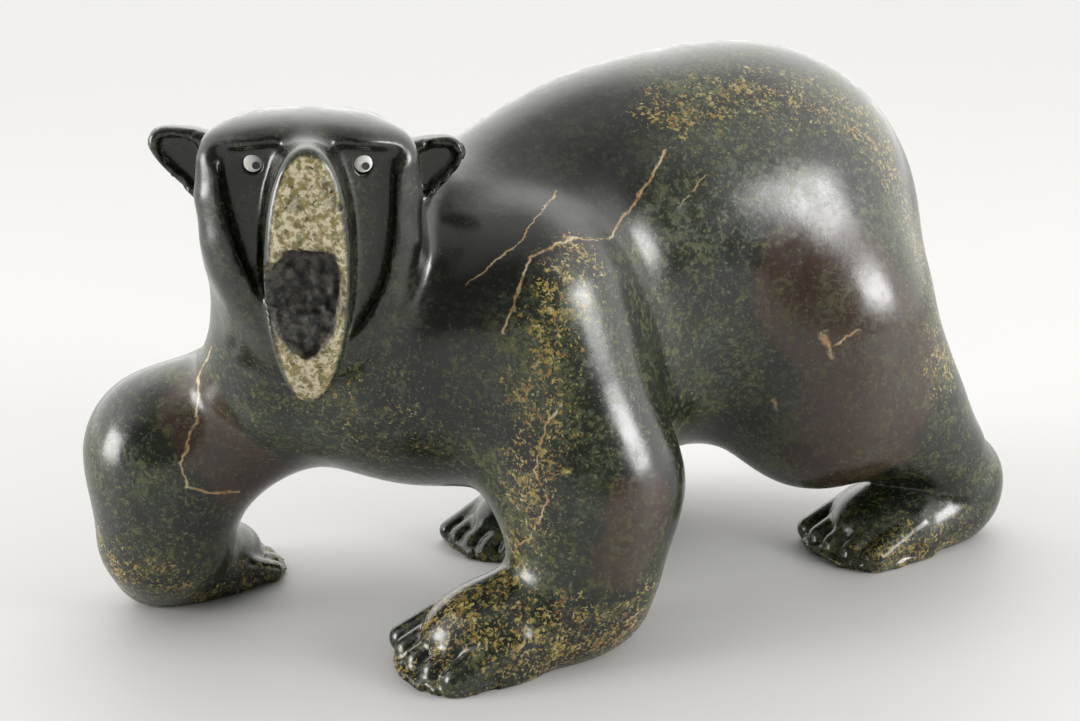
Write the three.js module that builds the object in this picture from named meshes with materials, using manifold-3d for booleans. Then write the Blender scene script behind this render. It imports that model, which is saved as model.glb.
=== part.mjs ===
// A walking bear carved from one block of serpentine, with inlaid bone eyes.
// Millimetres, +Z up. X runs from the head to the rump, Y to the bear's right.
// The body is one rounded mass, written as a field of distances: masses are
// joined with soft seams, hollows are cut away, and the skin is where it is zero.

import * as THREE from 'three';
import { mergeVertices } from 'three/addons/utils/BufferGeometryUtils.js';
import Module from 'manifold-3d';

// ---------------------------------------------------------------- dimensions

const GRID = 2.0;              // spacing of the samples the skin is found from
const BODY_TRIANGLES = 7000;   // facets left on the body before its last cuts
const GAP = 0.3;               // clearance round an inlay

const RUMP = { at: [86, 4, 125], radii: [79.5, 66, 79] };
const BARREL = { at: [30, 2, 124], radii: [92, 60, 76] };
const CHEST = { at: [-56, 2, 106], radii: [58, 56, 58] };
const BELLY = { at: [-4, -6, 84], radii: [50, 46, 41] };

// Limbs: joint positions, each with the radius of the flesh round it.
const FRONT_LEFT = [[-44, -38, 120, 41], [-30, -62, 60, 32], [-34, -70, 34, 26]];
const FRONT_RIGHT = [[-92, 18, 94, 27], [-151, 42, 64, 29.5], [-155, 47, 30, 26]];
const HIND_LEFT = [[98, -30, 100, 51], [91, -44, 65, 37]];
const HIND_CALF = [[101, -34, 96, 49], [119, -50, 64, 28], [144, -58, 36, 21]];
const HIND_HOCK = [[155, -58, 24, 20], [150, -58, 16, 16]];
const HIND_RIGHT = [[80, 34, 100, 48], [30, 42, 60, 30], [44, 42, 26, 19]];

// Paws: heel and toe on the ground, then width and height.
const PAW_FRONT_LEFT = { heel: [-14, -70], toe: [-113, -58], width: 50, height: 31 };
const PAW_FRONT_RIGHT = { heel: [-170, 52], toe: [-104, 64], width: 38, height: 27 };
const PAW_HIND_LEFT = { heel: [170, -57], toe: [76, -57], width: 47, height: 27 };
const PAW_HIND_RIGHT = { heel: [60, 42], toe: [-37, 27], width: 43, height: 26 };

// The head has its own frame: u forward, v to its left, w up.
const HEAD_AT = [-116, -22, 162];
const HEAD_YAW = 67;           // turned to the bear's left
const HEAD_PITCH = -4;         // nose down
const HEAD_TILT = 2.5;         // crown leaning to its left
const HEAD_REACH = 110;        // nothing of the head lies further out than this

const MUZZLE = { middle: -9.5, above: 42, below: 44.5, half: 14.2, front: 47 };
const EYE = { out: 20.2, aside: 17.8, up: 22.4, radius: 3.75, thick: 3.2, dome: 0.5 };
const PUPIL = { radius: 1.25, thick: 1.2, aside: 0.9, down: 0.7, proud: 0.25 };

// ---------------------------------------------------------------- soft solids

// Union of two distances with a seam about k wide.
function join(a, b, k) {
  const wide = k * 1.5;
  const h = Math.max(wide - Math.abs(a - b), 0) / wide;
  return Math.min(a, b) - h * h * h * wide / 6;
}

// What both solids share, with a soft edge.
function common(a, b, k) {
  return -join(-a, -b, k);
}

// The first solid with the second cut away.
function carve(a, b, k) {
  return -join(-a, b, k);
}

function ellipsoid(at, radii, yaw = 0) {
  const c = Math.cos(yaw);
  const s = Math.sin(yaw);
  const [rx, ry, rz] = radii;
  return (x, y, z) => {
    const dx = x - at[0];
    const dy = y - at[1];
    const a = (c * dx + s * dy) / rx;
    const b = (c * dy - s * dx) / ry;
    const e = (z - at[2]) / rz;
    const k0 = Math.hypot(a, b, e);
    const k1 = Math.hypot(a / rx, b / ry, e / rz);
    return k1 > 1e-9 ? k0 * (k0 - 1) / k1 : -Math.min(rx, ry, rz);
  };
}

// Rounded block: a superellipsoid of the given power.
function block(at, radii, power) {
  return (x, y, z) => {
    const t = [Math.abs(x - at[0]) / radii[0], Math.abs(y - at[1]) / radii[1], Math.abs(z - at[2]) / radii[2]];
    const f = (t[0] ** power + t[1] ** power + t[2] ** power) ** (1 / power);
    const g = Math.hypot(...t.map((e, i) => e ** (power - 1) / radii[i]));
    return (f - 1) * Math.max(f, 1e-6) ** (power - 1) / Math.max(g, 1e-6);
  };
}

// Two balls and the cone that touches both.
function bone(a, b, ra, rb) {
  const ba = [b[0] - a[0], b[1] - a[1], b[2] - a[2]];
  const l2 = ba[0] ** 2 + ba[1] ** 2 + ba[2] ** 2;
  const rr = ra - rb;
  const a2 = l2 - rr * rr;
  return (px, py, pz) => {
    const x = px - a[0];
    const y = py - a[1];
    const z = pz - a[2];
    const t = x * ba[0] + y * ba[1] + z * ba[2];
    const over = t - l2;
    const x2 = (x * l2 - ba[0] * t) ** 2 + (y * l2 - ba[1] * t) ** 2 + (z * l2 - ba[2] * t) ** 2;
    const k = Math.sign(rr) * rr * rr * x2;
    if (Math.sign(over) * a2 * over * over * l2 > k) {
      return Math.sqrt(x2 + over * over * l2) / l2 - rb;
    }
    if (Math.sign(t) * a2 * t * t * l2 < k) {
      return Math.sqrt(x2 + t * t * l2) / l2 - ra;
    }
    return (Math.sqrt(x2 * a2 / l2) + t * rr) / l2 - ra;
  };
}

// Convex flat outline through corners, counter-clockwise, its corners softened by k.
function outline(corners, k) {
  const sides = corners.map((c, i) => {
    const e = corners[(i + 1) % corners.length];
    const length = Math.hypot(e[0] - c[0], e[1] - c[1]);
    return [c[0], c[1], (e[1] - c[1]) / length, (c[0] - e[0]) / length];
  });
  return (v, w) => {
    let d = -Infinity;
    for (const [a, b, nv, nw] of sides) {
      const side = (v - a) * nv + (w - b) * nw;
      d = d === -Infinity ? side : common(d, side, k);
    }
    return d;
  };
}

// ---------------------------------------------------------------- body

function limb(joints, k = 14) {
  const parts = [];
  for (let i = 1; i < joints.length; i += 1) {
    const [a, b] = [joints[i - 1], joints[i]];
    parts.push(bone(a.slice(0, 3), b.slice(0, 3), a[3], b[3]));
  }
  return (x, y, z) => parts.reduce((d, f) => (d === null ? f(x, y, z) : join(d, f(x, y, z), k)), null);
}

// A long flat paw with five toes fanned across its front.
function paw({ heel, toe, width, height }) {
  const length = Math.hypot(toe[0] - heel[0], toe[1] - heel[1]);
  const along = [(toe[0] - heel[0]) / length, (toe[1] - heel[1]) / length];
  const side = [-along[1], along[0]];
  const yaw = Math.atan2(along[1], along[0]);
  const mid = [(heel[0] + toe[0]) / 2 - along[0] * 5, (heel[1] + toe[1]) / 2 - along[1] * 5, height * 0.40];
  const sole = ellipsoid(mid, [length / 2 - 4, width * 0.46, height * 0.60], yaw);
  const ballAt = [toe[0] - along[0] * 23, toe[1] - along[1] * 23, height * 0.30];
  const ball = ellipsoid(ballAt, [17, width * 0.50, height * 0.50], yaw);
  const r = width * 0.13;
  const toes = [-2, -1, 0, 1, 2].map((i) => {
    const t = i / 2;
    const back = r + 1.5 + 3.5 * t * t;
    const tip = [0, 1].map((n) => toe[n] + side[n] * t * width * 0.40 - along[n] * back);
    const knuckle = [0, 1].map((n) => tip[n] - along[n] * 20 - side[n] * t * width * 0.06);
    return bone([...tip, r * 0.92], [...knuckle, r * 0.92 + height * 0.36], r, r * 1.20);
  });
  return (x, y, z) => {
    const foot = join(sole(x, y, z), ball(x, y, z), 10);
    const row = toes.reduce((d, f) => (d === null ? f(x, y, z) : join(d, f(x, y, z), 1.2)), null);
    return join(foot, row, 2.5);
  };
}

const rump = ellipsoid(RUMP.at, RUMP.radii);
const barrel = ellipsoid(BARREL.at, BARREL.radii);
const chest = ellipsoid(CHEST.at, CHEST.radii);
const belly = ellipsoid(BELLY.at, BELLY.radii);

function torso(x, y, z) {
  let d = join(rump(x, y, z), barrel(x, y, z), 30);
  d = join(d, chest(x, y, z), 36);
  return join(d, belly(x, y, z), 22);
}

const frontLeft = limb(FRONT_LEFT);
const frontRight = limb(FRONT_RIGHT);
const thighLeft = limb(HIND_LEFT, 20);
const calfLeft = limb(HIND_CALF, 20);
const hockLeft = limb(HIND_HOCK);
const hindRight = limb(HIND_RIGHT, 20);
const pawFrontLeft = paw(PAW_FRONT_LEFT);
const pawFrontRight = paw(PAW_FRONT_RIGHT);
const pawHindLeft = paw(PAW_HIND_LEFT);
const pawHindRight = paw(PAW_HIND_RIGHT);

function legs(x, y, z) {
  const a = join(frontLeft(x, y, z), pawFrontLeft(x, y, z), 14);
  const b = join(frontRight(x, y, z), pawFrontRight(x, y, z), 10);
  const haunch = join(thighLeft(x, y, z), calfLeft(x, y, z), 16);
  const foot = join(hockLeft(x, y, z), pawHindLeft(x, y, z), 14);
  const c = join(haunch, foot, 3);
  const d = join(hindRight(x, y, z), pawHindRight(x, y, z), 10);
  return Math.min(a, b, c, d);
}

// ---------------------------------------------------------------- head

const headFrame = (() => {
  const yaw = THREE.MathUtils.degToRad(HEAD_YAW);
  const pitch = THREE.MathUtils.degToRad(HEAD_PITCH);
  const tilt = THREE.MathUtils.degToRad(HEAD_TILT);
  const level = new THREE.Vector3(-Math.cos(yaw), -Math.sin(yaw), 0);
  const left = new THREE.Vector3(-level.y, level.x, 0);
  const forward = level.multiplyScalar(Math.cos(pitch)).add(new THREE.Vector3(0, 0, Math.sin(pitch)));
  const up = new THREE.Vector3().crossVectors(forward, left);
  const v = left.clone().multiplyScalar(Math.cos(tilt)).addScaledVector(up, -Math.sin(tilt));
  const w = up.clone().multiplyScalar(Math.cos(tilt)).addScaledVector(left, Math.sin(tilt));
  const basis = new THREE.Matrix4().makeBasis(forward, v, w);
  return basis.setPosition(...HEAD_AT);
})();

function fromHead(u, v, w) {
  return new THREE.Vector3(u, v, w).applyMatrix4(headFrame).toArray();
}

const cranium = block([-4, 0, 3], [33, 36, 31.3], 3.0);
const cheeks = block([-4, 0, -20], [31, 30, 36], 2.6);
const brow = ellipsoid([8, 0, 27], [22, 33, 10]);

function skull(u, v, w) {
  return join(join(cranium(u, v, w), cheeks(u, v, w), 12), brow(u, v, w), 6);
}

// Two flat planes under the brow, either side of the muzzle, inside a raised rim.
const faceEdge = outline([[8, -42], [21, -26], [27.5, -10], [30.5, 14], [29, 28.5], [8, 28]], 5);

function face(u, v, w) {
  const side = Math.abs(v);
  const bow = ((side - 20) / 14) ** 2 * 1.5;
  const floor = 19.5 + (22 - w) * 0.08 - (side - 18) * 0.12 + bow;
  return common(faceEdge(side, w), floor - u, 3);
}

// A tall oval standing out of the face, blunter above than below.
function muzzle(u, v, w) {
  const dv = Math.abs(v + 0.4);
  const dw = w - MUZZLE.middle;
  const high = dw > 0 ? MUZZLE.above : MUZZLE.below;
  const power = dw > 0 ? 2.3 : 2.0;
  const wide = MUZZLE.half + Math.min(Math.max(30 - u, 0), 30) * 0.12;
  const a = dv / wide;
  const b = Math.abs(dw) / high;
  const f = (a ** power + b ** power) ** (1 / power);
  const g = Math.hypot(a ** (power - 1) / wide, b ** (power - 1) / high);
  const oval = (f - 1) * Math.max(f, 1e-6) ** (power - 1) / Math.max(g, 1e-6);
  const front = u - (MUZZLE.front - (dw / 42) ** 2 * 4 - (dv / 14) ** 2 * 2);
  return Math.max(common(oval, front, 5), -5 - u);
}

const throatCut = block([52, -1.6, -18], [18, 10.2, 17], 3);
const jawCut = block([52, -1, -32], [12, 7, 8], 2.4);
const nostril = ellipsoid([48, 6, 16], [4, 2.4, 3.6]);

// Ears: upright triangular flaps, each hollowed in front.
const earFlap = outline([[28, 27], [34, -3], [57, 27]], 6);
const earHollow = outline([[35, 22.5], [38.5, 7], [49, 22.5]], 4);

function ear(u, v, w) {
  const slab = Math.abs(u + 6) - (5.5 - (v - 34) * 0.09);
  const flap = common(earFlap(v, w), slab, 3);
  return carve(flap, common(earHollow(v, w), -u - 4, 2), 1.5);
}

const nape = bone([-84, -4, 110], fromHead(-12, 0, -6), 44, 32);
const throat = bone(fromHead(-8, -3, -14), fromHead(-20, -9, -60), 27, 29);
const ruff = bone(fromHead(-24, 34, 4), fromHead(-24, 23, -64), 12, 14);

function neck(x, y, z) {
  return join(join(nape(x, y, z), throat(x, y, z), 10), ruff(x, y, z), 8);
}

// ---------------------------------------------------------------- whole bear

const toHead = headFrame.clone().invert().elements;

function bear(x, y, z) {
  let d = join(join(torso(x, y, z), neck(x, y, z), 24), legs(x, y, z), 18);
  if (Math.hypot(x - HEAD_AT[0], y - HEAD_AT[1], z - HEAD_AT[2]) > HEAD_REACH) {
    return d;
  }
  const e = toHead;
  const u = e[0] * x + e[4] * y + e[8] * z + e[12];
  const v = e[1] * x + e[5] * y + e[9] * z + e[13];
  const w = e[2] * x + e[6] * y + e[10] * z + e[14];
  d = join(d, skull(u, v, w), 10);
  d = carve(d, face(u, v, w), 2.5);
  d = join(d, muzzle(u, v, w), 4);
  d = carve(d, throatCut(u, v, w), 2);
  d = carve(d, jawCut(u, v, w), 2);
  d = carve(d, nostril(u, Math.abs(v), w), 1);
  return join(d, Math.min(ear(u, -v, w - 0.5), ear(u, v, w + 2)), 2);
}

// ---------------------------------------------------------------- skin

// The zero surface of a field, found in tetrahedra: six to each cell of the grid.
function skin(field, low, high, step) {
  const n = [0, 1, 2].map((i) => Math.ceil((high[i] - low[i]) / step) + 1);
  const at = (i, j, k) => (i * n[1] + j) * n[2] + k;
  const value = new Float32Array(n[0] * n[1] * n[2]).fill(NaN);
  const sample = (i, j, k) => {
    const id = at(i, j, k);
    if (Number.isNaN(value[id])) {
      value[id] = field(low[0] + i * step, low[1] + j * step, low[2] + k * step);
    }
    return value[id];
  };
  const points = [];
  const faces = [];
  const known = new Map();
  const corner = (c) => [(c & 1), (c >> 1) & 1, (c >> 2) & 1];
  const paths = [[1, 3], [1, 5], [2, 3], [2, 6], [4, 5], [4, 6]];
  const cross = (cell, a, b) => {
    const [from, to] = a < b ? [a, b] : [b, a];
    const p = corner(from).map((c, i) => c + cell[i]);
    const q = corner(to).map((c, i) => c + cell[i]);
    const key = at(...p) * 8 + (to ^ from);
    if (!known.has(key)) {
      const dp = sample(...p);
      const dq = sample(...q);
      const t = Math.min(Math.max(dp / (dp - dq), 0.04), 0.96);
      known.set(key, points.length);
      points.push([0, 1, 2].map((i) => low[i] + step * (p[i] + t * (q[i] - p[i]))));
    }
    return known.get(key);
  };
  const emit = (a, b, c, away) => {
    const [p, q, r] = [points[a], points[b], points[c]];
    const e = [q[0] - p[0], q[1] - p[1], q[2] - p[2]];
    const f = [r[0] - p[0], r[1] - p[1], r[2] - p[2]];
    const normal = [e[1] * f[2] - e[2] * f[1], e[2] * f[0] - e[0] * f[2], e[0] * f[1] - e[1] * f[0]];
    const out = normal[0] * away[0] + normal[1] * away[1] + normal[2] * away[2];
    faces.push(out > 0 ? [a, b, c] : [a, c, b]);
  };
  const big = 5;
  for (let bi = 0; bi < n[0] - 1; bi += big) {
    for (let bj = 0; bj < n[1] - 1; bj += big) {
      for (let bk = 0; bk < n[2] - 1; bk += big) {
        const middle = [bi, bj, bk].map((b, i) => low[i] + (b + big / 2) * step);
        if (Math.abs(field(...middle)) > big * step * 1.3) {
          continue;
        }
        for (let i = bi; i < Math.min(bi + big, n[0] - 1); i += 1) {
          for (let j = bj; j < Math.min(bj + big, n[1] - 1); j += 1) {
            for (let k = bk; k < Math.min(bk + big, n[2] - 1); k += 1) {
              cut([i, j, k]);
            }
          }
        }
      }
    }
  }

  function cut(cell) {
    const d = [];
    for (let c = 0; c < 8; c += 1) {
      const [a, b, e] = corner(c);
      d.push(sample(cell[0] + a, cell[1] + b, cell[2] + e));
    }
    if (d.every((e) => e < 0) || d.every((e) => e >= 0)) {
      return;
    }
    for (const [a, b] of paths) {
      const tet = [0, a, b, 7];
      const inside = tet.filter((c) => d[c] < 0);
      const outside = tet.filter((c) => d[c] >= 0);
      if (inside.length === 0 || outside.length === 0) {
        continue;
      }
      const mean = (set) => [0, 1, 2].map((i) => set.reduce((s, c) => s + corner(c)[i], 0) / set.length);
      const [near, far] = [mean(inside), mean(outside)];
      const away = [0, 1, 2].map((i) => far[i] - near[i]);
      if (inside.length === 2) {
        const [p, q] = inside;
        const [r, s] = outside;
        const ring = [cross(cell, p, r), cross(cell, p, s), cross(cell, q, s), cross(cell, q, r)];
        emit(ring[0], ring[1], ring[2], away);
        emit(ring[0], ring[2], ring[3], away);
      } else {
        const [one, three] = inside.length === 1 ? [inside[0], outside] : [outside[0], inside];
        emit(...three.map((c) => cross(cell, one, c)), away);
      }
    }
  }

  return { points, faces };
}

// Fewer facets: the edge whose removal moves the skin least goes first.
function simplify({ points, faces }, target, weight) {
  const count = points.length;
  const quadric = new Float64Array(count * 10);
  const ring = points.map(() => new Set());
  const alive = new Uint8Array(faces.length).fill(1);
  const version = new Int32Array(count);
  const normalOf = (p, q, r) => {
    const e = [q[0] - p[0], q[1] - p[1], q[2] - p[2]];
    const f = [r[0] - p[0], r[1] - p[1], r[2] - p[2]];
    return [e[1] * f[2] - e[2] * f[1], e[2] * f[0] - e[0] * f[2], e[0] * f[1] - e[1] * f[0]];
  };
  faces.forEach((face, id) => {
    const [p, q, r] = face.map((c) => points[c]);
    const normal = normalOf(p, q, r);
    const size = Math.hypot(...normal) || 1e-12;
    const [a, b, c] = normal.map((e) => e / size);
    const d = -(a * p[0] + b * p[1] + c * p[2]);
    const area = size / 2;
    const terms = [a * a, a * b, a * c, a * d, b * b, b * c, b * d, c * c, c * d, d * d];
    for (const v of face) {
      ring[v].add(id);
      const share = area * weight(points[v]);
      terms.forEach((t, i) => {
        quadric[v * 10 + i] += t * share;
      });
    }
  });
  const price = (q, [x, y, z]) => q[0] * x * x + 2 * q[1] * x * y + 2 * q[2] * x * z + 2 * q[3] * x
    + q[4] * y * y + 2 * q[5] * y * z + 2 * q[6] * y + q[7] * z * z + 2 * q[8] * z + q[9];
  const plan = (a, b) => {
    const q = new Float64Array(10);
    for (let i = 0; i < 10; i += 1) {
      q[i] = quadric[a * 10 + i] + quadric[b * 10 + i];
    }
    const [p, r] = [points[a], points[b]];
    const mid = [(p[0] + r[0]) / 2, (p[1] + r[1]) / 2, (p[2] + r[2]) / 2];
    const length = Math.hypot(p[0] - r[0], p[1] - r[1], p[2] - r[2]);
    const soft = 1e-3 * (q[0] + q[4] + q[7]);
    const m = [q[0] + soft, q[1], q[2], q[4] + soft, q[5], q[7] + soft];
    const h = [soft * mid[0] - q[3], soft * mid[1] - q[6], soft * mid[2] - q[8]];
    const c0 = m[3] * m[5] - m[4] * m[4];
    const c1 = m[2] * m[4] - m[1] * m[5];
    const c2 = m[1] * m[4] - m[2] * m[3];
    const det = m[0] * c0 + m[1] * c1 + m[2] * c2;
    let best = mid;
    if (Math.abs(det) > 1e-12) {
      const c3 = m[0] * m[5] - m[2] * m[2];
      const c4 = m[1] * m[2] - m[0] * m[4];
      const c5 = m[0] * m[3] - m[1] * m[1];
      const to = [
        (c0 * h[0] + c1 * h[1] + c2 * h[2]) / det,
        (c1 * h[0] + c3 * h[1] + c4 * h[2]) / det,
        (c2 * h[0] + c4 * h[1] + c5 * h[2]) / det,
      ];
      const off = Math.hypot(to[0] - mid[0], to[1] - mid[1], to[2] - mid[2]);
      best = off < length * 1.5 ? to : mid;
    }
    const cost = Math.max(price(q, best), 0) + 2e-4 * length * length * (q[0] + q[4] + q[7]);
    return { a, b, to: best, cost, va: version[a], vb: version[b] };
  };
  const heap = [];
  const push = (item) => {
    let i = heap.length;
    heap.push(item);
    while (i > 0) {
      const up = (i - 1) >> 1;
      if (heap[up].cost <= item.cost) {
        break;
      }
      heap[i] = heap[up];
      i = up;
    }
    heap[i] = item;
  };
  const pop = () => {
    const top = heap[0];
    const last = heap.pop();
    if (heap.length > 0) {
      let i = 0;
      for (;;) {
        let low = 2 * i + 1;
        if (low >= heap.length) {
          break;
        }
        if (low + 1 < heap.length && heap[low + 1].cost < heap[low].cost) {
          low += 1;
        }
        if (heap[low].cost >= last.cost) {
          break;
        }
        heap[i] = heap[low];
        i = low;
      }
      heap[i] = last;
    }
    return top;
  };
  const around = (v) => {
    const set = new Set();
    for (const id of ring[v]) {
      for (const c of faces[id]) {
        set.add(c);
      }
    }
    set.delete(v);
    return set;
  };
  const turns = (v, other, to) => {
    for (const id of ring[v]) {
      const face = faces[id];
      if (face.includes(other)) {
        continue;
      }
      const before = normalOf(...face.map((c) => points[c]));
      const after = normalOf(...face.map((c) => (c === v ? to : points[c])));
      const dot = before[0] * after[0] + before[1] * after[1] + before[2] * after[2];
      const lengths = Math.hypot(...before) * Math.hypot(...after);
      if (dot < 0.3 * lengths || Math.hypot(...after) < 1e-4) {
        return true;
      }
    }
    return false;
  };
  for (const [a, b, c] of faces) {
    for (const [p, q] of [[a, b], [b, c], [c, a]]) {
      if (p < q) {
        push(plan(p, q));
      }
    }
  }
  let left = faces.length;
  while (left > target && heap.length > 0) {
    const { a, b, to, va, vb } = pop();
    if (version[a] !== va || version[b] !== vb || ring[a].size === 0 || ring[b].size === 0) {
      continue;
    }
    const near = around(a);
    const shared = [...around(b)].filter((c) => near.has(c));
    if (shared.length !== 2 || turns(a, b, to) || turns(b, a, to)) {
      continue;
    }
    for (const id of ring[b]) {
      const face = faces[id];
      if (face.includes(a)) {
        alive[id] = 0;
        left -= 1;
        for (const c of face) {
          if (c !== b) {
            ring[c].delete(id);
          }
        }
      } else {
        face[face.indexOf(b)] = a;
        ring[a].add(id);
      }
    }
    ring[b].clear();
    points[a] = to;
    for (let i = 0; i < 10; i += 1) {
      quadric[a * 10 + i] += quadric[b * 10 + i];
    }
    version[a] += 1;
    version[b] += 1;
    for (const c of around(a)) {
      push(plan(Math.min(a, c), Math.max(a, c)));
    }
  }
  const kept = faces.filter((_, id) => alive[id]);
  return { points, faces: kept };
}

// ---------------------------------------------------------------- solids

const wasm = await Module();
wasm.setup();

function solid(points, faces) {
  const used = new Map();
  const vertices = [];
  const triangles = faces.flat().map((c) => {
    if (!used.has(c)) {
      used.set(c, used.size);
      vertices.push(...points[c]);
    }
    return used.get(c);
  });
  const mesh = new wasm.Mesh({
    numProp: 3,
    vertProperties: new Float32Array(vertices),
    triVerts: new Uint32Array(triangles),
  });
  return new wasm.Manifold(mesh);
}

function solidOf(geometry) {
  const bare = geometry.clone();
  bare.deleteAttribute('normal');
  bare.deleteAttribute('uv');
  const merged = mergeVertices(bare, 1e-4);
  const mesh = new wasm.Mesh({
    numProp: 3,
    vertProperties: new Float32Array(merged.attributes.position.array),
    triVerts: new Uint32Array(merged.index.array),
  });
  return new wasm.Manifold(mesh);
}

function geometryOf(manifold) {
  const mesh = manifold.getMesh();
  const geometry = new THREE.BufferGeometry();
  geometry.setAttribute('position', new THREE.BufferAttribute(new Float32Array(mesh.vertProperties), 3));
  geometry.setIndex(new THREE.BufferAttribute(new Uint32Array(mesh.triVerts), 1));
  geometry.computeVertexNormals();
  return geometry;
}

// A short round plug whose axis is the head's own forward direction.
function plug(radius, back, front, aside, up, dome, sides) {
  const profile = [
    [0, back],
    [radius, back],
    [radius, front - dome],
    [radius * 0.72, front - dome * 0.38],
    [0, front],
  ].map(([r, h]) => new THREE.Vector2(r, h));
  const geometry = new THREE.LatheGeometry(profile, sides);
  geometry.rotateZ(-Math.PI / 2);
  geometry.translate(0, aside, up);
  geometry.applyMatrix4(headFrame);
  return geometry;
}

// Fine facets on the face and the toes, plainer ones over the back and flanks.
function detail(p) {
  const face = Math.hypot(p[0] - HEAD_AT[0], p[1] - HEAD_AT[1], p[2] - HEAD_AT[2]) < 62;
  return face ? 3.0 : p[2] < 30 ? 2.0 : 1.0;
}

const low = [-200, -110, -14];
const high = [200, 100, 216];
const fine = skin(bear, low, high, GRID);
const coarse = simplify(fine, BODY_TRIANGLES, detail);
let body = solid(coarse.points, coarse.faces);

// The soles are cut flat, so that the bear stands level.
const ground = new THREE.BoxGeometry(600, 400, 60);
ground.translate(0, 0, -30);
body = body.subtract(solidOf(ground));

// Sockets for the eyes, then the eyes with a pit for each pupil.
const eyeFloor = EYE.out - EYE.thick;
const inlays = [];
for (const [name, sign] of [['right', -1], ['left', 1]]) {
  const aside = sign * EYE.aside;
  const socket = plug(EYE.radius + GAP, eyeFloor - GAP, EYE.out + 12, aside, EYE.up, 0.2, 28);
  body = body.subtract(solidOf(socket));
  const eye = solidOf(plug(EYE.radius, eyeFloor, EYE.out, aside, EYE.up, EYE.dome, 28));
  const pupilAside = aside + PUPIL.aside;
  const pupilUp = EYE.up - PUPIL.down;
  const pupilTop = EYE.out + PUPIL.proud - 0.15;
  const pupilBack = pupilTop - PUPIL.thick;
  const pit = plug(PUPIL.radius + GAP, pupilBack - GAP, EYE.out + 4, pupilAside, pupilUp, 0.1, 20);
  const pupil = plug(PUPIL.radius, pupilBack, pupilTop, pupilAside, pupilUp, 0.3, 20);
  inlays.push([`eye_${name}`, 'bone', eye.subtract(solidOf(pit))]);
  inlays.push([`pupil_${name}`, 'dark', solidOf(pupil)]);
}

// ---------------------------------------------------------------- scene graph

const materials = {
  stone: new THREE.MeshStandardMaterial({ color: 0x23271c, roughness: 0.18, metalness: 0 }),
  bone: new THREE.MeshStandardMaterial({ color: 0xf0ede4, roughness: 0.35, metalness: 0 }),
  dark: new THREE.MeshStandardMaterial({ color: 0x35373a, roughness: 0.3, metalness: 0 }),
};

// The origin is on the ground under the middle of the carving.
const box = body.boundingBox();
const centre = [(box.min[0] + box.max[0]) / 2, (box.min[1] + box.max[1]) / 2];
const group = new THREE.Group();
group.name = 'bear';
group.position.set(-centre[0], -centre[1], 0);

function place(name, material, manifold) {
  const mesh = new THREE.Mesh(geometryOf(manifold), materials[material]);
  mesh.name = name;
  group.add(mesh);
}

place('bear_body', 'stone', body);
for (const [name, material, manifold] of inlays) {
  place(name, material, manifold);
}

const carving = new THREE.Group();
carving.add(group);

export default carving;
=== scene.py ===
"""A walking bear carved from one block of polished serpentine, with inlaid bone eyes.

The carving is one field of distances in millimetres, on its own axes: X runs from head to rump, Y to
the bear's right, Z up. The field is turned into a mesh, set on the CAD body's box, and coloured by
position. Left and right are the bear's own.
"""
import math

import bmesh
import bpy
import numpy as np
from mathutils import Matrix, Vector, noise


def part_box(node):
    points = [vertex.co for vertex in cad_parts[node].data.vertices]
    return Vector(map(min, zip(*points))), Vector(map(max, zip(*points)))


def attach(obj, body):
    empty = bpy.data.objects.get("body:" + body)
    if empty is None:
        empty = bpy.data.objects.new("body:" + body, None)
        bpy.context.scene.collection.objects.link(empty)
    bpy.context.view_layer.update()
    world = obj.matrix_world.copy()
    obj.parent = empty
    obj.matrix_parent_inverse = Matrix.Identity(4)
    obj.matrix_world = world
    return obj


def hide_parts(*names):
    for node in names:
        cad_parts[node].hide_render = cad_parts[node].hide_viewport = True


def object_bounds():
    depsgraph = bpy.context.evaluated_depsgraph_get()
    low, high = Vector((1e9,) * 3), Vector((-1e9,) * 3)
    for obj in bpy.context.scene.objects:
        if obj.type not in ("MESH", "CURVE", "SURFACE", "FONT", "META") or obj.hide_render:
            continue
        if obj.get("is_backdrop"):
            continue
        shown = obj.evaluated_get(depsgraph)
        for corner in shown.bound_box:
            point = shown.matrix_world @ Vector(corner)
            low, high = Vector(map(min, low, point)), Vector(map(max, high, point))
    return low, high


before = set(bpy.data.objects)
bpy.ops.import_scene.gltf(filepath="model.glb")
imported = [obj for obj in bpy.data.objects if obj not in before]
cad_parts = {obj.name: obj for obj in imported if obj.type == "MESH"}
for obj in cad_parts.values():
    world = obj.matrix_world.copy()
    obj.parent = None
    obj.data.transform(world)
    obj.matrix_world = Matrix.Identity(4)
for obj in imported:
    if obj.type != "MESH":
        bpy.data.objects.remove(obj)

cad_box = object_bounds()
MM = 0.001

# ---------------------------------------------------------------- form

RUMP = dict(at=(86, 4, 125), radii=(79.5, 66, 79))
BARREL = dict(at=(30, 2, 124), radii=(92, 60, 76), soft=30)
CHEST = dict(at=(-56, 2, 106), radii=(58, 56, 58), soft=36)
BELLY = dict(at=(-4, -6, 84), radii=(50, 46, 41), soft=22)

FRONT_LEFT = [(-44, -38, 120, 41), (-30, -62, 60, 32), (-34, -70, 34, 26)]
FRONT_RIGHT = [(-92, 18, 94, 27), (-151, 42, 64, 29.5), (-155, 47, 30, 26)]
HIND_LEFT = [(90, -29, 98, 50), (89, -43, 66, 37)]
HIND_CALF = [(97, -31, 92, 48), (119, -49, 64, 28), (144, -58, 36, 21)]
HIND_HOCK = [(155, -58, 24, 20), (150, -58, 16, 16)]
HIND_RIGHT = [(80, 34, 100, 48), (30, 42, 60, 30), (44, 42, 26, 19)]

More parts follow.
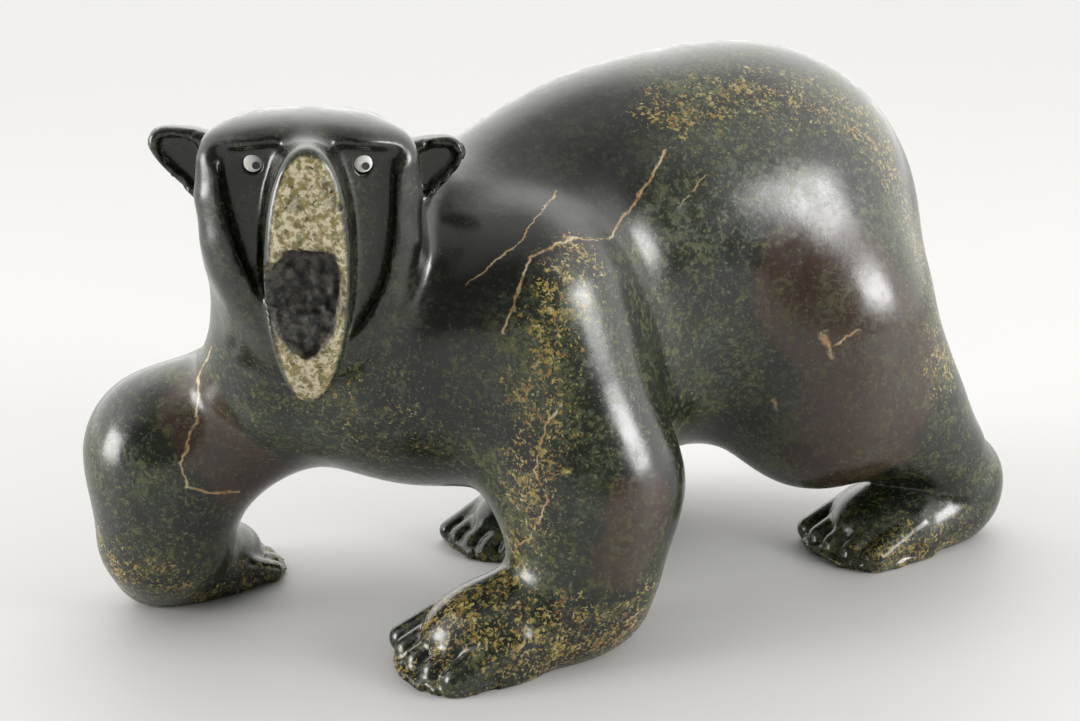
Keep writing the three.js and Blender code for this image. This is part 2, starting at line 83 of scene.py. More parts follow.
PAW_FRONT_LEFT = dict(heel=(-14, -70), toe=(-105.5, -57.5), width=50, height=31, skew=3)
PAW_FRONT_RIGHT = dict(heel=(-170, 52), toe=(-104, 64), width=38, height=27, skew=-2)
PAW_HIND_LEFT = dict(heel=(170, -57), toe=(86, -56), width=49, height=27, skew=1)
PAW_HIND_RIGHT = dict(heel=(60, 42), toe=(-37, 27), width=43, height=26, skew=3)
PAWS = [PAW_FRONT_LEFT, PAW_FRONT_RIGHT, PAW_HIND_LEFT, PAW_HIND_RIGHT]

HEAD_AT = np.array([-116.0, -22.0, 162.0])
HEAD_YAW, HEAD_PITCH, HEAD_TILT = 67, -4, 2.5
HEAD_REACH = 110
PLANE_EDGE = {
    -1: [(6, -34), (17, -23), (25.5, -4), (29, 10), (29.3, 26), (18, 29.3), (6, 30.5)],
    1: [(6, -46), (16, -35), (24, -23), (29, -4), (30, 14), (29.3, 27), (18, 29.3), (6, 30.5)],
}
RIM = {
    -1: [(13.5, 30.5, 22), (14, 31, 10), (16, 28, -4), (18, 20.5, -21), (20, 11, -34)],
    1: [(13.5, 30.5, 22), (14, 31.5, 10), (15.5, 31, -4), (17.5, 26.5, -22), (19, 17, -37), (21, 8, -46)],
}
EYE_AT = (20.2, 17.9, 21.9)
EYE_RADIUS, EYE_THICK, EYE_DOME = 3.05, 3.2, 0.9
SOCKET_GAP = 0.12
PUPIL_RADIUS, PUPIL_THICK = 1.25, 1.2
MUZZLE_MID, MUZZLE_ABOVE, MUZZLE_BELOW, MUZZLE_HALF, MUZZLE_FRONT = -9.5, 42.0, 44.5, 14.2, 47.0
EAR_FLAP = [(31, 26), (31, -5), (42, 6.5), (52, 17), (54.5, 23.5), (50.5, 28.5), (42, 29)]
EAR_HOLLOW = [(36.5, 23.5), (37, 5.5), (43, 11), (49.3, 18), (51, 22.8), (48.5, 25.4), (42, 25.8)]
MOUTH_EDGE = [(-8.5, 0.5), (-13.5, -9), (-13.6, -22), (-9, -32), (-1, -37), (5.5, -32), (9.6, -22),
              (10.5, -9), (7.6, 0.5)]
MOUTH_FLOOR, JAW_SHELF = 37.0, 5.0
# Nostril grooves: a line of (aside, up) points, the groove's radius and softness, and how far from the line the
# painted shade in the groove is full. The second depth on the last line sets how far under the front of the muzzle
# that line of painted shade runs.
NOSTRILS = [
    dict(line=[(4.7, 22.2), (5.0, 17.4), (6.5, 14.5), (9.6, 14.0)], radius=0.95, soft=0.4, dark=0.75),
    dict(line=[(6.9, 20.2), (7.7, 16.9)], radius=0.8, soft=0.4, dark=0.65),
    dict(line=[(-6.6, 14.3), (-2.8, 14.4)], radius=0.9, soft=0.4, dark=0.7),
    dict(line=[(-4.9, 15.8), (-4.2, 16.4)], radius=1.3, soft=0.8, dark=1.0),
]
NOSTRIL_SUNK, PAINTED_SHADE_SUNK = 0.5, 0.8


def unit(v):
    v = np.asarray(v, float)
    return v / np.linalg.norm(v)


def length(v):
    return np.sqrt((v ** 2).sum(-1))


def heading(direction):
    """Axes with X along a level direction."""
    along = unit(direction)
    side = np.array([-along[1], along[0], 0.0])
    return np.stack([along, side, [0.0, 0.0, 1.0]], 1)


def ellipsoid(p, at, radii, axes=None):
    q = p - np.asarray(at, float)
    if axes is not None:
        q = q @ axes
    r = np.asarray(radii, float)
    near, far = length(q / r), length(q / r ** 2)
    return np.where(far > 1e-9, near * (near - 1) / np.maximum(far, 1e-9), -r.min())


def bone(p, a, b, ra, rb):
    """Two balls and the cone that touches both."""
    a, b = np.asarray(a, float), np.asarray(b, float)
    ba = b - a
    l2 = ba @ ba
    rr = ra - rb
    a2 = l2 - rr * rr
    pa = p - a
    y = pa @ ba
    z = y - l2
    x2 = ((pa * l2 - y[:, None] * ba) ** 2).sum(-1)
    y2, z2 = y * y * l2, z * z * l2
    k = np.sign(rr) * rr * rr * x2
    d = (np.sqrt(x2 * a2 / l2) + y * rr) / l2 - ra
    d = np.where(np.sign(y) * a2 * y2 < k, np.sqrt(x2 + y2) / l2 - ra, d)
    return np.where(np.sign(z) * a2 * z2 > k, np.sqrt(x2 + z2) / l2 - rb, d)


def smoothly(a, b, x):
    t = np.clip((x - a) / (b - a), 0, 1)
    return t * t * (3 - 2 * t)


def scaled(f, gradient):
    return (f - 1) / np.maximum(gradient, 1e-6)


def block(q, radii, power):
    """A rounded block round the origin."""
    r = np.asarray(radii, float)
    a = np.abs(q) / r
    f = (a ** power).sum(-1) ** (1 / power)
    return scaled(f, length(a ** (power - 1) / r) / np.maximum(f, 1e-6) ** (power - 1))


def outline(q, corners, soft):
    """A convex flat outline through corners, given anticlockwise."""
    c = np.asarray(corners, float)
    d = None
    for here, there in zip(c, np.roll(c, -1, axis=0)):
        edge = there - here
        side = (q - here) @ (np.array([edge[1], -edge[0]]) / np.hypot(*edge))
        d = side if d is None else common(d, side, soft)
    return d


def join(a, b, soft):
    wide = soft * 1.5
    h = np.maximum(wide - np.abs(a - b), 0) / wide
    return np.minimum(a, b) - h ** 3 * wide / 6


def common(a, b, soft):
    return -join(-a, -b, soft)


def carve(a, b, soft):
    return -join(-a, b, soft)


def limb(p, joints, soft=14):
    d = None
    for a, b in zip(joints, joints[1:]):
        part = bone(p, a[:3], b[:3], a[3], b[3])
        d = part if d is None else join(d, part, soft)
    return d


def within(p, at, reach, shape, outside=60.0):
    """shape's distances within reach of at, and a large distance elsewhere."""
    close = length(p - np.asarray(at, float)) < reach
    d = np.full(len(p), outside)
    if close.any():
        d[close] = shape(p[close])
    return d


def toes(heel, toe, width, height, skew):
    """Tip, knuckle and radius of each of the five toes that fan out across the front of a flat foot."""
    axes = heading((toe[0] - heel[0], toe[1] - heel[1], 0))
    along, side = axes[:, 0], axes[:, 1]
    front = np.array([toe[0], toe[1], 0.0])
    r = width * 0.115
    for place in (-1, -0.5, 0, 0.5, 1):
        back = r + 1.5 + 3.5 * place ** 2 + skew * place
        tip = front + side * place * width * 0.40 - along * back + [0, 0, r * 0.85]
        knuckle = tip - along * 23 - side * place * width * 0.05 + [0, 0, height * 0.34]
        yield tip, knuckle, r


def paw(p, heel, toe, width, height, skew):
    """Instep, ball, the thin pad under them and the five toes."""
    axes = heading((toe[0] - heel[0], toe[1] - heel[1], 0))
    along = axes[:, 0]
    reach = math.hypot(toe[0] - heel[0], toe[1] - heel[1])
    middle = np.array([(heel[0] + toe[0]) / 2, (heel[1] + toe[1]) / 2, 0]) - along * 5
    front = np.array([toe[0], toe[1], 0.0])

    def shape(p):
        instep_radii = (reach / 2 - 4, width * 0.46, height * 0.60)
        instep = ellipsoid(p, middle + [0, 0, height * 0.40], instep_radii, axes)
        ball_radii = (17, width * 0.47, height * 0.46)
        ball = ellipsoid(p, front - along * 34 + [0, 0, height * 0.28], ball_radii, axes)
        d = join(instep, ball, 10)
        row = None
        for tip, knuckle, r in toes(heel, toe, width, height, skew):
            one = bone(p, tip, knuckle, r * 0.96, r * 1.12)
            row = one if row is None else join(row, one, 0.6)
        pad = block((p - front + along * 25) @ axes, (26, width * 0.50, 6.5), 2.6)
        return join(join(d, pad, 3), row, 2.0)

    return within(p, middle, reach / 2 + 70, shape)


def torso(p):
    d = ellipsoid(p, RUMP["at"], RUMP["radii"])
    for mass in (BARREL, CHEST, BELLY):
        d = join(d, ellipsoid(p, mass["at"], mass["radii"]), mass["soft"])
    return d


def legs(p):
    front_left = join(limb(p, FRONT_LEFT), paw(p, **PAW_FRONT_LEFT), 14)
    front_right = join(limb(p, FRONT_RIGHT), paw(p, **PAW_FRONT_RIGHT), 10)
    thigh = join(limb(p, HIND_LEFT, 20), limb(p, HIND_CALF, 20), 16)
    hind_left = join(thigh, join(limb(p, HIND_HOCK), paw(p, **PAW_HIND_LEFT), 14), 3)
    hind_right = join(limb(p, HIND_RIGHT, 20), paw(p, **PAW_HIND_RIGHT), 10)
    return np.minimum(np.minimum(front_left, front_right), np.minimum(hind_left, hind_right))


def head_axes():
    """Columns: forward, to the side away from the rump, and up, as the head is turned."""
    yaw, pitch, tilt = (math.radians(a) for a in (HEAD_YAW, HEAD_PITCH, HEAD_TILT))
    level = np.array([-math.cos(yaw), -math.sin(yaw), 0.0])
    side = np.array([-level[1], level[0], 0.0])
    forward = level * math.cos(pitch) + np.array([0, 0, math.sin(pitch)])
    up = np.cross(forward, side)
    return np.stack([
        forward,
        side * math.cos(tilt) - up * math.sin(tilt),
        up * math.cos(tilt) + side * math.sin(tilt),
    ], 1)


HEAD_AXES = head_axes()


def in_head(p):
    return (p - HEAD_AT) @ HEAD_AXES


def at_head(forward, aside, up):
    return HEAD_AT + HEAD_AXES @ np.array([forward, aside, up], float)


def skull(q):
    d = block(q - [-4, 0, 3], (32, 35.6, 31), 3.5)
    d = join(d, block(q - [-4, 0, -20], (30.5, 30, 36), 2.7), 12)
    return join(d, ellipsoid(q, (8, 0, 27), (22, 33, 10)), 6)


def eye_planes(q, d):
    """The two planes under the brow, either side of the muzzle, each inside a raised rim."""
    for side in (-1, 1):
        aside = side * q[:, 1]
        m = q * [1, side, 1]
        rim = None
        for a, b in zip(RIM[side], RIM[side][1:]):
            part = bone(m, a, b, 4.6, 4.5)
            rim = part if rim is None else join(rim, part, 2)
        d = join(d, rim, 9)
        edge = outline(m[:, 1:], PLANE_EDGE[side], 5)
        floor = 19.5 + (22 - q[:, 2]) * 0.062 - (aside - 18) * 0.16 + ((aside - 20) / 14) ** 2 * 1.5
        d = carve(d, common(edge, floor - q[:, 0], 4), 1.0 + smoothly(18, 27, q[:, 2]) * 5)
    return d


def eye_sockets(q, d):
    for side in (-1, 1):
        across = np.hypot(q[:, 1] - side * EYE_AT[1], q[:, 2] - EYE_AT[2])
        depth = np.maximum(EYE_AT[0] - EYE_THICK - q[:, 0], q[:, 0] - 30)
        d = carve(d, np.maximum(across - EYE_RADIUS - SOCKET_GAP, depth), 0.25)
    return d


def muzzle_oval(q, half=MUZZLE_HALF):
    """Distance from the upright oval that the muzzle fills, seen from in front."""
    aside, up = q[:, 1] + 0.4, q[:, 2] - MUZZLE_MID
    tall = np.where(up > 0, MUZZLE_ABOVE, MUZZLE_BELOW)
    power = np.where(up > 0, 2.3, 2.0)
    wide = half + np.clip(30 - q[:, 0], 0, 30) * 0.12
    a, b = np.abs(aside) / wide, np.abs(up) / tall
    f = (a ** power + b ** power) ** (1 / power)
    slope = np.sqrt((a ** (power - 1) / wide) ** 2 + (b ** (power - 1) / tall) ** 2)
    return scaled(f, slope / np.maximum(f, 1e-6) ** (power - 1))


def front_of_muzzle(aside, up):
    return MUZZLE_FRONT - ((up - MUZZLE_MID) / 42) ** 2 * 4 - ((aside + 0.4) / 14) ** 2 * 2


def muzzle(q):
    front = q[:, 0] - front_of_muzzle(q[:, 1], q[:, 2])
    return np.maximum(common(muzzle_oval(q), front, 4), -5 - q[:, 0])


def mouth(q, d):
    """A shallow rough-cut hollow, deepest behind the upper lip, with a shelf for the lower jaw."""
    edge = outline(q[:, 1:], MOUTH_EDGE, 3)
    floor = MOUTH_FLOOR + smoothly(-17, -25, q[:, 2]) * JAW_SHELF
    return carve(d, common(edge, floor - q[:, 0], 1.5), 1.0)


def on_muzzle(line, sunk):
    """Points given as (aside, up), set below the front of the muzzle."""
    return [(front_of_muzzle(aside, up) - sunk, aside, up) for aside, up in line]


def nostrils(q, d):
    """Round-bottomed grooves in the front of the muzzle."""
    for each in NOSTRILS:
        points = on_muzzle(each["line"], NOSTRIL_SUNK)
        for a, b in zip(points, points[1:]):
            d = carve(d, bone(q, a, b, each["radius"], each["radius"] * 0.98), each["soft"])
    return d


def ears(q):
    d = None
    for side, lift in ((-1, 0.6), (1, -2.2)):
        aside, up = side * q[:, 1], q[:, 2] - lift
        flat = np.stack([aside, up], 1)
        slab = np.abs(q[:, 0] + 6) - (5.5 - (aside - 34) * 0.09)
        ear = common(outline(flat, EAR_FLAP, 3), slab, 2.5)
        hollow = common(outline(flat, EAR_HOLLOW, 2), -q[:, 0] - 5.4, 2)
        ear = carve(ear, hollow, 1.0)
        d = ear if d is None else np.minimum(d, ear)
    return d


def neck(p):
    d = bone(p, (-84, -4, 110), at_head(-12, 0, -6), 44, 32)
    d = join(d, bone(p, at_head(-8, -3, -14), at_head(-20, -9, -60), 27, 29), 10)
    return join(d, bone(p, at_head(-24, 34, 4), at_head(-24, 23, -64), 12, 14), 8)


def ruff(p, d):
    """The ridge down the side of the neck, with a groove behind it."""
    ridge = bone(p, at_head(-21, 38, 2), at_head(-19, 28, -58), 5.5, 6.5)
    d = join(d, ridge, 5)
    return carve(d, bone(p, at_head(-27, 49, 0), at_head(-27, 41, -50), 6, 4), 7)


def bear(p):
    d = join(torso(p), neck(p), 24)
    d = join(d, legs(p), 18)
    d = ruff(p, d)
    near = length(p - HEAD_AT) < HEAD_REACH
    if near.any():
        q = in_head(p[near])
        face = eye_planes(q, join(d[near], skull(q), 10))
        face = join(eye_sockets(q, face), muzzle(q), 3)
        face = nostrils(q, mouth(q, face))
        d = d.copy()
        d[near] = join(face, ears(q), 2)
    return np.maximum(d, -p[:, 2])


# ---------------------------------------------------------------- mesh

STEP = 3.0
LOW, HIGH = np.array([-200.0, -112.0, -6.0]), np.array([200.0, 100.0, 218.0])
BLOCK = 4


def in_parts(field, p, size=60000):
    return np.concatenate([field(p[i:i + size]) for i in range(0, len(p), size)])


def sampled(field, low, high, step):
    """The field on a grid, exact near the surface and coarse away from it."""
    blocks = np.ceil((high - low) / (step * BLOCK)).astype(int)
    corners = np.stack(np.meshgrid(*[np.arange(n + 1) for n in blocks], indexing="ij"), -1)
    rough = in_parts(field, (low + corners * step * BLOCK).reshape(-1, 3)).reshape(corners.shape[:3])
    least = np.abs(rough)
    for axis in range(3):
        a = np.moveaxis(least, axis, 0)
        least = np.moveaxis(np.minimum(a[1:], a[:-1]), 0, axis)
    live = least < step * BLOCK * 1.3
    grid = rough
    for axis in range(3):
        grid = np.repeat(grid, BLOCK, axis)
    grid = grid[tuple(slice(0, n * BLOCK + 1) for n in blocks)].copy()
    fine = np.zeros(grid.shape, bool)
    for b in np.argwhere(live):
        fine[tuple(slice(i * BLOCK, i * BLOCK + BLOCK + 1) for i in b)] = True
    at = np.argwhere(fine)
    grid[fine] = in_parts(field, low + at * step)
    return grid


def surface_nets(d, low, step):
    inside = d < 0
    size = np.array(d.shape)
    corners = [(a, b, c) for a in (0, 1) for b in (0, 1) for c in (0, 1)]
    count = sum(inside[tuple(slice(o, n - 1 + o) for o, n in zip(c, size))].astype(int) for c in corners)
    cells = np.argwhere((count > 0) & (count < 8))
    index = -np.ones(count.shape, np.int64)
    index[tuple(cells.T)] = np.arange(len(cells))
    total, hits = np.zeros((len(cells), 3)), np.zeros(len(cells))
    for i, a in enumerate(corners):
        for b in corners[i + 1:]:
            if sum(abs(x - y) for x, y in zip(a, b)) != 1:
                continue
            da, db = d[tuple((cells + a).T)], d[tuple((cells + b).T)]
            cross = (da < 0) != (db < 0)
            t = np.where(cross, da / np.where(cross, da - db, 1), 0)
            total[cross] += (np.array(a) + t[:, None] * (np.array(b) - a))[cross]
            hits[cross] += 1
    points = (cells + total / hits[:, None]) * step + low
    quads = []
    for axis in range(3):
        u, v = (axis + 1) % 3, (axis + 2) % 3
        edges = np.argwhere(np.diff(inside.astype(np.int8), axis=axis) != 0)
        inner = (edges[:, [u, v]] > 0) & (edges[:, [u, v]] < size[[u, v]] - 1)
        edges = edges[inner.all(1)]
        ring = []
        for du, dv in ((1, 1), (0, 1), (0, 0), (1, 0)):
            cell = edges.copy()
            cell[:, u] -= du
            cell[:, v] -= dv
            ring.append(index[tuple(cell.T)])
        ring = np.stack(ring, 1)
        out = ~inside[tuple(edges.T)]
        ring[out] = ring[out][:, ::-1]
        quads.append(ring)
    return points, np.concatenate(quads)


def slope(field, p, reach=0.15):
    steps = np.eye(3) * reach
    return np.stack([in_parts(field, p + e) - in_parts(field, p - e) for e in steps], -1) / (2 * reach)


def settled(field, p, rounds, limit):
    """Points moved onto the surface of the field."""
    p = p.copy()
    for _ in range(rounds):
        g = slope(field, p)
        move = in_parts(field, p)[:, None] * g / np.maximum((g * g).sum(-1, keepdims=True), 1e-6)
        far = length(move)[:, None]
        p -= move * np.minimum(1, limit / np.maximum(far, 1e-9))
    return p


def relaxed(p, edges, share):
    total, hits = np.zeros_like(p), np.zeros(len(p))
    for a, b in ((0, 1), (1, 0)):
        np.add.at(total, edges[:, a], p[edges[:, b]])
        np.add.at(hits, edges[:, a], 1)
    return p + (total / hits[:, None] - p) * share


def facet_size(p):
    """The length of mesh edge wanted at each point: short on the face, the ears and the toes."""
    size = np.full(len(p), STEP)
    q = in_head(p)
    head = (length(q) < 66) & (q[:, 0] > -22)
    ear = (np.abs(q[:, 1]) > 26) & (q[:, 2] > -6) & (np.abs(q[:, 0] + 6) < 14) & (length(q) < 75)
    size[head | ear] = STEP / 2
    from_eye = np.hypot(np.abs(q[:, 1]) - EYE_AT[1], q[:, 2] - EYE_AT[2]) + np.maximum(14 - q[:, 0], 0)
    snout = (muzzle_oval(q) < 1.5) & (q[:, 0] > 26)
    size[(snout | (from_eye < 6.5)) & head] = STEP / 4
    size[(from_eye < 4.6) & head] = STEP / 8
    for foot in PAWS:
        axes = heading((foot["toe"][0] - foot["heel"][0], foot["toe"][1] - foot["heel"][1], 0))
        r = (p - [foot["toe"][0], foot["toe"][1], 0]) @ axes
        low = (r[:, 2] < foot["height"] + 4) & (np.abs(r[:, 1]) < foot["width"] * 0.62)
        size[low & (r[:, 0] > -45)] = STEP / 2
        if foot in (PAW_FRONT_LEFT, PAW_HIND_LEFT):
            size[low & (r[:, 0] > -24)] = STEP / 4
    return size


def carved_mesh(field):
    grid = sampled(field, LOW, HIGH, STEP)
    points, quads = surface_nets(grid, LOW, STEP)
    points = settled(field, points, 2, STEP / 2)
    made = bpy.data.meshes.new("bear_stone")
    made.from_pydata(points.tolist(), [], quads.tolist())
    work = bmesh.new()
    work.from_mesh(made)
    for size in (STEP / 2, STEP / 4, STEP / 8):
        work.verts.index_update()
        wanted = facet_size(positions(work)) <= size
        edges = [e for e in work.edges if wanted[e.verts[0].index] and wanted[e.verts[1].index]]
        bmesh.ops.subdivide_edges(work, edges=edges, cuts=1, use_grid_fill=True)
        work.verts.index_update()
        pairs = np.array([[v.index for v in e.verts] for e in work.edges])
        p = settled(field, positions(work), 2, size / 2)
        p = settled(field, relaxed(p, pairs, 0.25), 3, size / 2)
        for v, at in zip(work.verts, p):
            v.co = at
    bmesh.ops.recalc_face_normals(work, faces=work.faces)
    work.to_mesh(made)
    work.free()
    return made


def positions(work):
    return np.array([v.co for v in work.verts], float)


def points_of(mesh):
    co = np.empty(len(mesh.vertices) * 3, np.float32)
    mesh.vertices.foreach_get("co", co)
    return co.reshape(-1, 3).astype(float)


stone_mesh = carved_mesh(bear)
where = points_of(stone_mesh)
cad_low, cad_high = (np.array(c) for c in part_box("bear_body"))
own_low, own_high = where.min(0), where.max(0)
shift = (cad_low + cad_high) / 2 / MM - (own_low + own_high) / 2
shift[2] = 0.0
outward = slope(bear, where)
outward /= length(outward)[:, None]


def beside(p, line, core, reach):
    """1 within core of a line through points, 0 beyond reach."""
    best = np.full(len(p), 1e9)
    for a, b in zip(line, line[1:]):
        best = np.minimum(best, bone(p, a, b, 0.02, 0.01))
    return 1 - smoothly(core, reach, best)


# Coloured parts of the block: a line of points, how far from it the colour is full, how far it reaches,
# and how strong it is.
RUMP_BAND = [(24, -34, 186), (65, -36, 191), (90, -40, 186), (117, -45, 169), (128, -55, 145),
             (130, -70, 110), (128, -80, 80)]
LEG_BAND = [(-38, -72, 146), (-48, -76, 135), (-58, -78, 112), (-59, -80, 92), (-63, -77, 70),
            (-64, -70, 45), (-72, -66, 30)]
GOLD_ZONES = [
    (RUMP_BAND, 3, 24, 0.75),
    (LEG_BAND, 3, 20, 0.85),
    ([(-96, -43, 84), (-110, -38, 100)], 5, 30, 0.35),
    ([(-92, -62, 22), (-60, -80, 10), (-30, -92, 12)], 8, 30, 0.9),
    ([(160, -60, 6), (110, -80, 4), (90, -82, 4)], 5, 22, 0.9),
    ([(-178, 40, 24), (-160, 22, 8)], 6, 26, 0.7),
    ([(-150, 40, 6), (-112, 50, 6)], 4, 20, 0.8),
]
PLUM_ZONES = [
    ([(70, -76, 122), (92, -84, 92), (84, -78, 60)], 18, 44, 1.0),
    ([(-36, -96, 44), (-30, -94, 60)], 6, 26, 0.8),
    ([(-148, 12, 88), (-132, 14, 62)], 8, 28, 0.9),
]
INK_ZONES = [([(-10, -20, 186), (-40, -40, 168), (-72, -40, 150)], 26, 50, 1.0)]
RUBBED_DEPTH, CHISEL_DEPTH = 0.28, 1.5


def zones(p, table):
    return [beside(p, line, core, reach) * strength for line, core, reach, strength in table]


q = in_head(where)
snout = (1 - smoothly(-3.0, -1.4, muzzle_oval(q))) * smoothly(34, 37, q[:, 0])
cavity = (1 - smoothly(-0.4, 0.8, outline(q[:, 1:], MOUTH_EDGE, 3))) * smoothly(34, 36, q[:, 0])
sole = 1 - smoothly(1.5, 6, where[:, 2])
# Painted shade: a dark mark in each nostril groove, full near its line and fading out, standing in for the shade
# inside the groove.
painted_nostril_shade = np.maximum.reduce([
    beside(q, on_muzzle(each["line"], PAINTED_SHADE_SUNK), each["dark"], each["dark"] + 0.7) for each in NOSTRILS
])
gold = np.maximum.reduce([*zones(where, GOLD_ZONES), snout, sole * 0.8])
plum = np.maximum.reduce(zones(where, PLUM_ZONES))
ink = np.maximum.reduce([*zones(where, INK_ZONES), (1 - smoothly(45, 62, length(q))) * 0.8])

# Rough-hewn stone: the mouth is left from the chisel and the front of the muzzle is only rubbed down.
chisel = np.array([noise.fractal(Vector(p / 4.2), 1.0, 2.1, 3) for p in where[cavity > 0.02]])
rubbed = np.array([noise.fractal(Vector(p / 2.6), 0.9, 2.0, 3) for p in where[snout > 0.02]])
depth = np.zeros(len(where))
depth[snout > 0.02] += rubbed * snout[snout > 0.02] * 0.28
depth[cavity > 0.02] += chisel * cavity[cavity > 0.02] * 1.5
where = where + outward * depth[:, None]
where[:, 2] = np.maximum(where[:, 2], 0)

# ---------------------------------------------------------------- pieces


def piece(name, mesh, material, node):
    made = bpy.data.objects.new(name, mesh)
    bpy.context.scene.collection.objects.link(made)
    mesh.materials.clear()
    mesh.materials.append(material)
    mesh.polygons.foreach_set("use_smooth", [True] * len(mesh.polygons))
    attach(made, "root")
    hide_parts(node)
    return made


def zone(mesh, name, values):
    mesh.attributes.new(name, "FLOAT", "POINT").data.foreach_set("value", values.astype(np.float32))


class Stone:
    """A material's nodes, with places in millimetres."""

    def __init__(self, name):
        self.material = bpy.data.materials.new(name)
        self.material.use_nodes = True
        self.tree = self.material.node_tree
        self.tree.nodes.clear()
        self.out = self.add("ShaderNodeOutputMaterial")
        self.shader = self.add("ShaderNodeBsdfPrincipled")
        self.tree.links.new(self.shader.outputs[0], self.out.inputs["Surface"])
        self.place = self.vector("SCALE", self.add("ShaderNodeTexCoord").outputs["Object"], scale=1 / MM)

    def add(self, kind, **settings):
        node = self.tree.nodes.new(kind)
        for key, value in settings.items():
            setattr(node, key, value)
        return node

    def feed(self, socket, value):
        if isinstance(value, bpy.types.NodeSocket):
            self.tree.links.new(value, socket)
        elif value is not None:
            socket.default_value = value

    def vector(self, operation, a, b=None, scale=None):
        node = self.add("ShaderNodeVectorMath", operation=operation)
        self.feed(node.inputs[0], a)
        if b is not None:
            self.feed(node.inputs[1], b)
        if scale is not None:
            self.feed(node.inputs["Scale"], scale)
        return node.outputs["Value" if operation in ("LENGTH", "DOT_PRODUCT", "DISTANCE") else "Vector"]

    def math(self, operation, a, b=None, c=None, clamp=False):
        node = self.add("ShaderNodeMath", operation=operation, use_clamp=clamp)
        for socket, value in zip(node.inputs, (a, b, c)):
            self.feed(socket, value)
        return node.outputs[0]

    def times(self, *values):
        total = values[0]
        for value in values[1:]:
            total = self.math("MULTIPLY", total, value)
        return total

    def most(self, *values):
        total = values[0]
        for value in values[1:]:
            total = self.math("MAXIMUM", total, value)
        return total

    def attribute(self, name):
        return self.add("ShaderNodeAttribute", attribute_name=name).outputs["Fac"]

    def noise(self, size, detail=2.0, roughness=0.5, distortion=0.0, kind="Fac"):
        node = self.add("ShaderNodeTexNoise")
        self.feed(node.inputs["Vector"], self.place)
        node.inputs["Scale"].default_value = 1 / size
        node.inputs["Detail"].default_value = detail
        node.inputs["Roughness"].default_value = roughness
        node.inputs["Distortion"].default_value = distortion
        return node.outputs[kind]

    def grains(self, size, place):
        """Distance from the middle of the nearest grain, and two random numbers for that grain."""
        node = self.add("ShaderNodeTexVoronoi", feature="F1")
        self.feed(node.inputs["Vector"], place)
        node.inputs["Scale"].default_value = 1 / size
        split = self.add("ShaderNodeSeparateColor")
        self.feed(split.inputs[0], node.outputs["Color"])
        return node.outputs["Distance"], split.outputs[0], split.outputs[1]

    def steps(self, value, low, high, start=0.0, end=1.0):
        node = self.add("ShaderNodeMapRange", interpolation_type="SMOOTHSTEP")
        for socket, given in zip(node.inputs, (value, low, high, start, end)):
            self.feed(socket, given)
        return node.outputs[0]

    def blend(self, amount, a, b):
        node = self.add("ShaderNodeMix", data_type="RGBA")
        for socket, given in ((0, amount), (6, a), (7, b)):
            if isinstance(given, tuple):
                given = (*given, 1.0)
            self.feed(node.inputs[socket], given)
        return node.outputs[2]

    def shaken(self, size, detail, far):
        """A small random move of each place."""
        moved = self.vector("SUBTRACT", self.noise(size, detail, 0.6, kind="Color"), (0.5, 0.5, 0.5))
        return self.vector("SCALE", moved, scale=far)

    def bump(self, height, strength, distance, under=None):
        node = self.add("ShaderNodeBump")
        node.inputs["Distance"].default_value = distance * MM
        self.feed(node.inputs["Strength"], strength)
        self.feed(node.inputs["Height"], height)
        if under is not None:
            self.feed(node.inputs["Normal"], under)
        return node.outputs[0]

    def sheet(self, place, a, b, outward, width):
        """A thin sheet of mineral between two points, seen as a line from a to b on the surface."""
        a, b = (np.asarray(e, float) + shift for e in (a, b))
        across = unit(np.cross(b - a, outward))
        middle = (a + b) / 2
        off = self.vector("DOT_PRODUCT", self.vector("SUBTRACT", place, tuple(middle)), tuple(across))
        line = self.steps(self.math("ABSOLUTE", off), width, 0.0)
        reach = np.linalg.norm(b - a) / 2
        near = self.steps(self.vector("DISTANCE", place, tuple(middle)), reach * 1.12, reach * 0.98)
        return self.math("MULTIPLY", line, near)


VEINS = [
    ([(-30, -44, 163), (-57, -62, 151), (-75, -60, 139)], (-0.3, -0.6, 0.75), 0.5),
    ([(16, -43, 174), (1, -49, 158), (-17, -57, 149), (-43, -66, 150), (-55, -66, 148), (-63, -70, 138),
      (-68, -71, 125)], (-0.1, -0.8, 0.6), 0.8),
    ([(27, -52, 163), (15, -54, 154)], (-0.2, -0.9, 0.4), 0.5),
    ([(-53, -82, 100), (-60, -79, 86), (-62, -78, 76), (-59, -83, 65), (-61, -80, 57), (-63, -69, 43)],
     (-0.6, -0.8, 0.1), 0.6),
    ([(-146, 3, 114), (-147, 15, 100), (-150, 10, 85), (-159, 10, 71), (-156, 10, 60), (-137, 11, 54)],
     (-0.5, -0.8, 0.1), 0.8),
    ([(66, -77, 104), (70, -78, 94)], (-0.5, -0.85, 0), 2.0),
    ([(70, -78, 98), (80, -80, 104)], (-0.5, -0.85, 0), 0.6),
    ([(54, -63, 78), (58, -63, 71)], (-0.7, -0.6, -0.2), 1.6),
]


